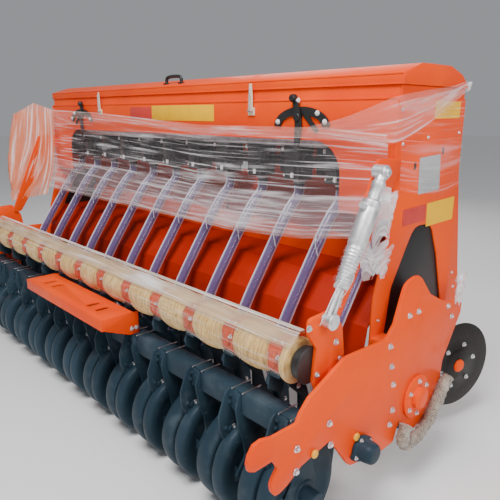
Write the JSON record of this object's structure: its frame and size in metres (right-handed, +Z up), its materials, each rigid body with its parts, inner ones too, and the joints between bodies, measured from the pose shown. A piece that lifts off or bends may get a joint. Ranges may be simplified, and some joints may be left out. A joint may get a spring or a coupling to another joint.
{
  "type": "seed drill",
  "caption": "Mounted seed drill with rotary tiller: lidded hopper, metering rows, clear drop tubes, opener bar, side discs and a press wheel roller.",
  "frame": {"origin": "on the ground under the middle of the machine's bounding box", "axes": "+X to the machine's right-hand side, +Y the way it is pulled, +Z up"},
  "size_m": [2.6, 1.4082, 1.4469],
  "materials": {
    "orange_paint": "glossy orange powder coat",
    "dark_paint": "semi-gloss dark blue-grey paint",
    "zinc": "zinc plated, under film",
    "bright_steel": "bright machined steel",
    "trough_steel": "stainless sheet",
    "black_disc": "satin black paint",
    "black_plastic": "moulded black plastic",
    "straw": "straw packing under stretch film",
    "clear_tube": "clear flexible tube",
    "film": "clear stretch film",
    "rope": "grey-beige wrapped tie"
  },
  "bodies": {
    "root": {"roller_frame": "dark_paint", "opener_bar": "dark_paint", "rotor_hub": "dark_paint", "step_board": "orange_paint", "side_plate_right": "orange_paint", "side_plate_left": "orange_paint", "bar_arm_right": "orange_paint", "bar_arm_left": "orange_paint", "bar_stay_right": "orange_paint", "bar_stay_left": "orange_paint", "disc_arm_right": "orange_paint", "disc_arm_left": "orange_paint", "chain_case": "orange_paint", "hood": "orange_paint", "main_beam": "orange_paint", "gearbox": "orange_paint", "end_panel_right": "orange_paint", "end_panel_left": "orange_paint", "hopper_rear_wall": "orange_paint", "hopper_front_wall": "orange_paint", "hitch_side_right": "orange_paint", "hitch_side_left": "orange_paint", "top_link_head": "orange_paint", "mast_stay_right": "orange_paint", "mast_stay_left": "orange_paint", "spring_strut_right": "zinc", "seed_trough": "trough_steel", "fertiliser_trough": "trough_steel", "seed_metering": "black_plastic", "fertiliser_metering": "black_plastic", "rate_quadrant_right": "black_plastic", "rate_quadrant_left": "black_plastic", "drive_guard_right": "black_plastic", "drive_guard_left": "black_plastic", "bar_wrap": "straw", "seed_tube_01": "clear_tube", "seed_tube_02": "clear_tube", "seed_tube_03": "clear_tube", "seed_tube_04": "clear_tube", "seed_tube_05": "clear_tube", "seed_tube_06": "clear_tube", "seed_tube_07": "clear_tube", "seed_tube_08": "clear_tube", "seed_tube_09": "clear_tube", "seed_tube_10": "clear_tube", "seed_tube_11": "clear_tube", "seed_tube_12": "clear_tube", "film_rear": "film", "film_right": "film", "film_left": "film", "tie_rope": "rope"},
    "lid": {"hopper_lid": "orange_paint", "lid_handle": "black_plastic"},
    "press_roller": {"press_roller": "dark_paint"},
    "rotor": {"rotor": "dark_paint"},
    "side_disc_right": {"side_disc_right": "black_disc"},
    "side_disc_left": {"side_disc_left": "black_disc"},
    "pto_shaft": {"pto_shaft": "bright_steel"},
    "parking_stand_right": {"parking_stand_right": "dark_paint"},
    "parking_stand_left": {"parking_stand_left": "dark_paint"}
  },
  "joints": [
    {"name": "lid_hinge", "type": "hinge", "parent": "root", "child": "lid", "pos_m": [0, 0.38322, 1.362], "axis": [-1, 0, 0], "range_deg": [0, 100]},
    {"name": "press_roller_spin", "type": "hinge", "parent": "root", "child": "press_roller", "pos_m": [0, -0.39678, 0.16], "axis": [1, 0, 0], "continuous": true},
    {"name": "pto_spin", "type": "hinge", "parent": "root", "child": "pto_shaft", "pos_m": [0, 0.58372, 0.862], "axis": [0, 1, 0], "continuous": true},
    {"name": "rotor_spin", "type": "hinge", "parent": "root", "child": "rotor", "pos_m": [0, 0.08322, 0.3], "axis": [1, 0, 0], "continuous": true},
    {"name": "side_disc_right_spin", "type": "hinge", "parent": "root", "child": "side_disc_right", "pos_m": [1.178, 0.53222, 0.276], "axis": [0.9613, -0.2756, 0], "continuous": true},
    {"name": "side_disc_left_spin", "type": "hinge", "parent": "root", "child": "side_disc_left", "pos_m": [-1.178, 0.53222, 0.276], "axis": [0.9613, 0.2756, 0], "continuous": true},
    {"name": "parking_stand_right_fold", "type": "hinge", "parent": "root", "child": "parking_stand_right", "pos_m": [0.5, 0.44522, 0.56], "axis": [0, -1, 0], "range_deg": [0, 90]},
    {"name": "parking_stand_left_fold", "type": "hinge", "parent": "root", "child": "parking_stand_left", "pos_m": [-0.5, 0.44522, 0.56], "axis": [0, 1, 0], "range_deg": [0, 90]}
  ],
  "couplings": [
    {"joint": "pto_spin", "follows": "rotor_spin", "ratio": -2.44}
  ]
}
